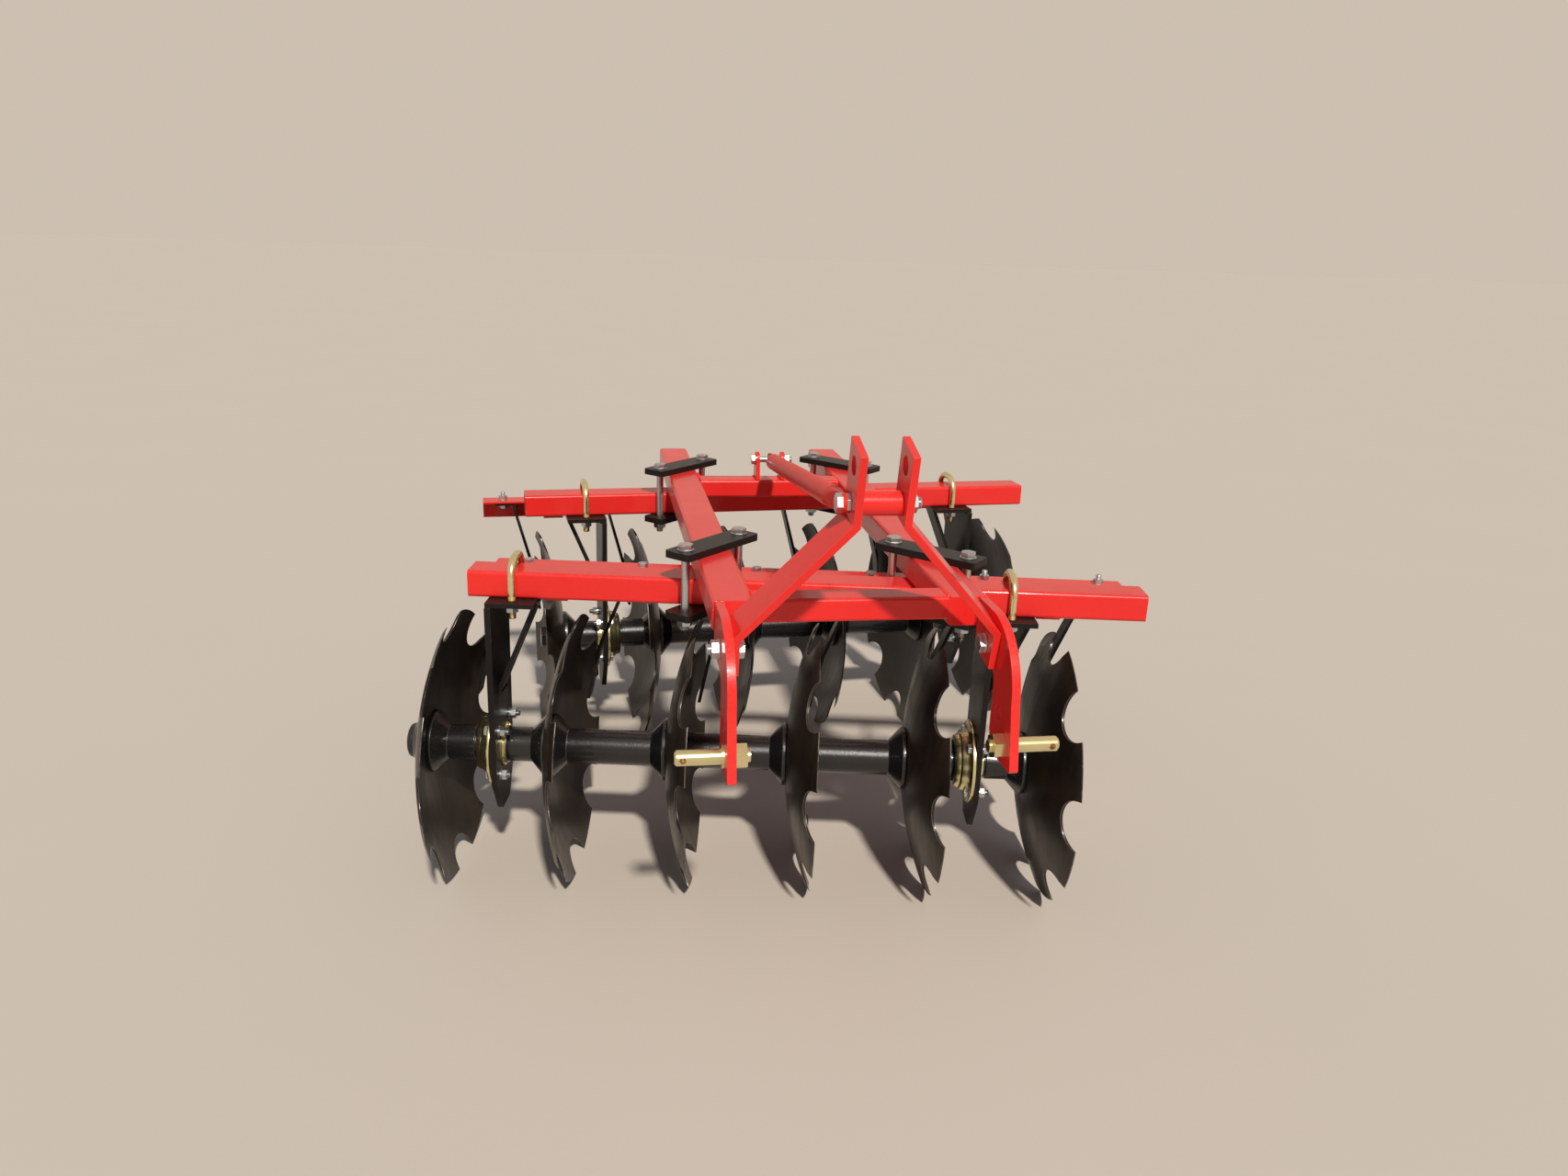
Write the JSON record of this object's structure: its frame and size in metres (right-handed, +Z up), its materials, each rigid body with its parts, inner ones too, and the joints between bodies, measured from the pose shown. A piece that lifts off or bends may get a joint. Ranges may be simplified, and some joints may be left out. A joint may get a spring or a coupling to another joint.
{
  "type": "disc harrow",
  "caption": "Three-point mounted disc harrow: box-tube frame with a leaning mast and stay, carrying two opposed, angled gangs of notched concave discs with scrapers.",
  "frame": {"origin": "on the ground under the middle of the whole machine's box", "axes": "+Z up, -Y towards the tractor, +Y rearwards, +X to the machine's left as it travels (to the right for someone facing its hitch from the tractor)"},
  "size_m": [1.333, 1.3696, 0.8491],
  "materials": {
    "red_paint": "gloss red enamel",
    "black_paint": "gloss black enamel",
    "blade_steel": "dark lacquered rolled steel",
    "yellow_zinc": "yellow chromate zinc plate",
    "white_zinc": "bright zinc plate"
  },
  "bodies": {
    "frame": {"rail_left": "red_paint", "rail_right": "red_paint", "front_cross_tube": "red_paint", "rear_cross_tube": "red_paint", "front_beam": "red_paint", "rear_beam": "red_paint", "mast_left": "red_paint", "mast_right": "red_paint", "mast_spacer": "red_paint", "mast_bolt": "white_zinc", "foot_bolts": "white_zinc", "link_plate_left": "red_paint", "link_plate_right": "red_paint", "link_pin_left": "yellow_zinc", "link_pin_right": "yellow_zinc", "top_stay": "red_paint", "stay_bracket": "red_paint", "stay_bolt": "white_zinc", "clamp_front_left": "black_paint", "clamp_front_right": "black_paint", "clamp_rear_left": "black_paint", "clamp_rear_right": "black_paint", "clamp_bolts_front": "white_zinc", "clamp_bolts_rear": "white_zinc", "ubolt_front_left": "yellow_zinc", "ubolt_front_right": "yellow_zinc", "ubolt_rear_left": "yellow_zinc", "ubolt_rear_right": "yellow_zinc", "hanger_front_left": "black_paint", "hanger_front_right": "black_paint", "hanger_rear_left": "black_paint", "hanger_rear_right": "black_paint", "bearing_front_left": "yellow_zinc", "bearing_front_right": "yellow_zinc", "bearing_rear_left": "yellow_zinc", "bearing_rear_right": "yellow_zinc", "scraper_bar_front": "red_paint", "scraper_bar_rear": "red_paint", "scraper_straps_front": "red_paint", "scraper_straps_rear": "red_paint", "scrapers_front": "black_paint", "scrapers_rear": "black_paint"},
    "front_gang": {"axle_front": "black_paint", "spools_front": "black_paint", "disc_front_1": "blade_steel", "disc_front_2": "blade_steel", "disc_front_3": "blade_steel", "disc_front_4": "blade_steel", "disc_front_5": "blade_steel", "disc_front_6": "blade_steel"},
    "rear_gang": {"axle_rear": "black_paint", "spools_rear": "black_paint", "disc_rear_1": "blade_steel", "disc_rear_2": "blade_steel", "disc_rear_3": "blade_steel", "disc_rear_4": "blade_steel", "disc_rear_5": "blade_steel", "disc_rear_6": "blade_steel"}
  },
  "joints": [
    {"name": "front_gang_spin", "type": "hinge", "parent": "frame", "child": "front_gang", "pos_m": [-0.07044, -0.24, 0.22598], "axis": [0.9848, -0.1736, 0], "continuous": true},
    {"name": "rear_gang_spin", "type": "hinge", "parent": "frame", "child": "rear_gang", "pos_m": [0.06537, 0.41525, 0.22598], "axis": [0.9962, 0.0872, 0], "continuous": true}
  ]
}
